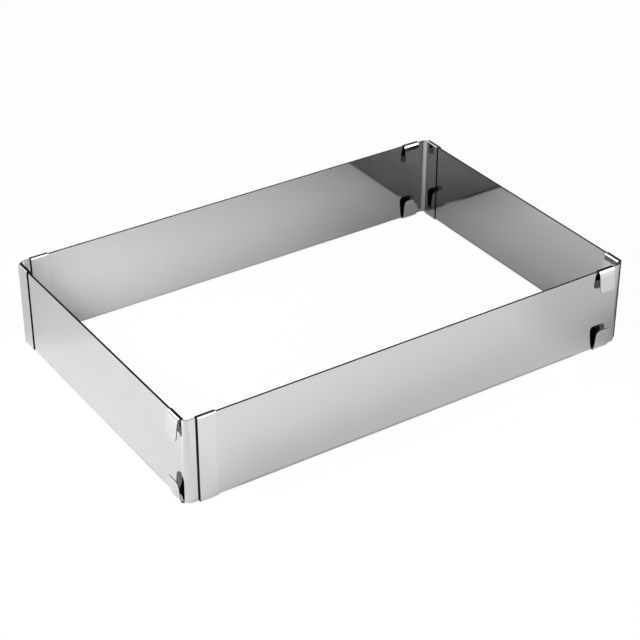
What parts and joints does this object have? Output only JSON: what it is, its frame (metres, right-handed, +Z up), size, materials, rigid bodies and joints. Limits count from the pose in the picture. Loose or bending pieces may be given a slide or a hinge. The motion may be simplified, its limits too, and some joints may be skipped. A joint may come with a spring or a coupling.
{
  "type": "adjustable cake frame",
  "caption": "Rectangular bottomless cake frame of nested L-shaped steel sheets that slide in guide clips, so it draws out in length and in width.",
  "frame": {"origin": "middle of the frame, on the surface that it stands on", "axes": "+X along the long walls, to the right seen from the front; +Y along the short walls, to the back; +Z up"},
  "size_m": [0.287, 0.192, 0.0512],
  "materials": {
    "sheet_steel": "polished stainless sheet, close to a mirror",
    "clip_steel": "polished stainless strip, folded"
  },
  "bodies": {
    "front_left": {"front_left_sheet": "sheet_steel", "front_left_inner_clip": "clip_steel", "front_left_outer_clip": "clip_steel"},
    "front_right": {"front_right_sheet": "sheet_steel", "front_right_inner_clip": "clip_steel", "front_right_outer_clip": "clip_steel"},
    "back_right": {"back_right_sheet": "sheet_steel", "back_right_inner_clip": "clip_steel", "back_right_outer_clip": "clip_steel"},
    "back_left": {"back_left_sheet": "sheet_steel", "back_left_inner_clip": "clip_steel", "back_left_outer_clip": "clip_steel"}
  },
  "joints": [
    {"name": "length_slide", "type": "slide", "parent": "front_left", "child": "front_right", "axis": [1, 0, 0], "range_m": [-0.0045, 0.2442]},
    {"name": "width_slide", "type": "slide", "parent": "front_left", "child": "back_left", "axis": [0, 1, 0], "range_m": [0, 0.1582]},
    {"name": "far_width_slide", "type": "slide", "parent": "front_right", "child": "back_right", "axis": [0, 1, 0], "range_m": [0, 0.1582]}
  ],
  "couplings": [
    {"joint": "far_width_slide", "follows": "width_slide", "ratio": 1}
  ]
}
